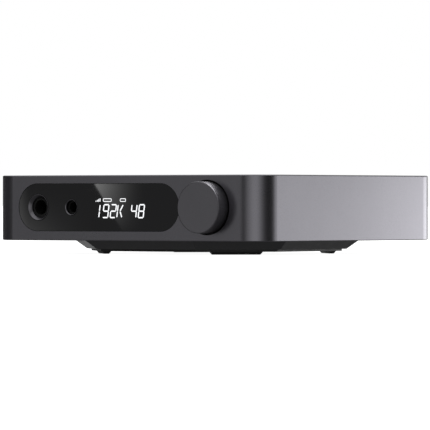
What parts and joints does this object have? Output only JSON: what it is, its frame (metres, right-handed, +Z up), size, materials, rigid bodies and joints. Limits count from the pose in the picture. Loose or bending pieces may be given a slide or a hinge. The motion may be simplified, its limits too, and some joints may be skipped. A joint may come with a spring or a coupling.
{
  "type": "desktop dac",
  "caption": "Low desktop DAC and headphone amplifier: dark aluminium shell with rounded corners, black window with headphone jacks and display, push-and-turn knob, octagonal raised base.",
  "frame": {"origin": "middle of the whole unit seen from above, on the table under the feet", "axes": "+Z up, the front panel faces -Y, +X to the right of a person facing the front"},
  "size_m": [0.147, 0.1482, 0.0344],
  "materials": {
    "shell_metal": "bead-blasted, anodised dark grey",
    "knob_metal": "turned and anodised dark grey",
    "window_black": "polished black",
    "collar_black": "glossy black moulding",
    "socket_black": "satin black moulding",
    "pan_black": "fine-textured black",
    "plate_black": "powder-coated black",
    "foot_rubber": "matt",
    "panel_black": "powder-coated black",
    "screw_steel": "blackened",
    "bright_steel": "plated",
    "contact_gold": "gold-plated",
    "nickel": "nickel-plated",
    "white_plastic": "white moulding",
    "diffuser": "milky translucent",
    "display_glass": "black segment glass",
    "board_green": "solder mask",
    "can_sleeve": "printed sleeve without text",
    "film_red": "dipped",
    "chip_black": "moulded",
    "tape_white": "ribbon insulation",
    "gasket_black": "foam tape"
  },
  "bodies": {
    "chassis": {"top_shell": "shell_metal", "base_pan": "pan_black", "base_plate": "plate_black", "feet": "foot_rubber", "base_screws": "screw_steel", "plate_screws": "screw_steel", "front_window": "window_black", "window_gasket": "gasket_black", "display_panel": "display_glass", "display_backlight": "white_plastic", "display_holder": "socket_black", "front_board": "board_green", "light_ring": "diffuser", "ring_leds": "white_plastic", "encoder_bracket": "bright_steel", "bracket_screws": "screw_steel", "encoder_nut": "nickel", "encoder_bushing": "nickel", "encoder_housing": "socket_black", "switch_dome": "bright_steel", "main_board": "board_green", "board_screws": "bright_steel", "capacitors": "can_sleeve", "film_capacitors": "film_red", "relays": "white_plastic", "inductors": "chip_black", "converter_chips": "chip_black", "clock_crystals": "bright_steel", "shield_can": "bright_steel", "board_headers": "white_plastic", "ribbon_cable": "tape_white", "rear_panel": "panel_black", "panel_screws": "screw_steel", "rca_housings": "socket_black", "rca_barrels": "contact_gold", "rca_insulators": "white_plastic", "rca_contacts": "contact_gold", "optical_housing": "socket_black", "optical_emitter": "diffuser", "usb_shell": "bright_steel", "usb_tongue": "socket_black", "usb_base": "board_green", "dc_jack_body": "socket_black", "dc_jack_pin": "nickel", "jack_635_collar": "collar_black", "jack_635_body": "socket_black", "jack_635_contacts": "contact_gold", "jack_44_collar": "collar_black", "jack_44_body": "socket_black", "jack_44_contacts": "contact_gold"},
    "knob_push": {"press_plunger": "white_plastic"},
    "knob_turn": {"volume_knob": "knob_metal", "encoder_shaft": "bright_steel", "encoder_rotor": "contact_gold"},
    "shutter": {"optical_shutter": "collar_black"}
  },
  "joints": [
    {"name": "knob_press", "type": "slide", "parent": "chassis", "child": "knob_push", "axis": [0, 1, 0], "range_m": [0, 0.0005], "stiffness_N_per_m": 4000, "springref_m": -0.0004},
    {"name": "knob_turn", "type": "hinge", "parent": "knob_push", "child": "knob_turn", "pos_m": [0.04505, -0.0675, 0.02042], "axis": [0, -1, 0], "continuous": true},
    {"name": "shutter_swing", "type": "hinge", "parent": "chassis", "child": "shutter", "pos_m": [-0.01159, 0.0627, 0.02387], "axis": [-1, 0, 0], "range_deg": [0, 86], "stiffness_Nm_per_rad": 0.0002, "springref_deg": -17.19}
  ]
}
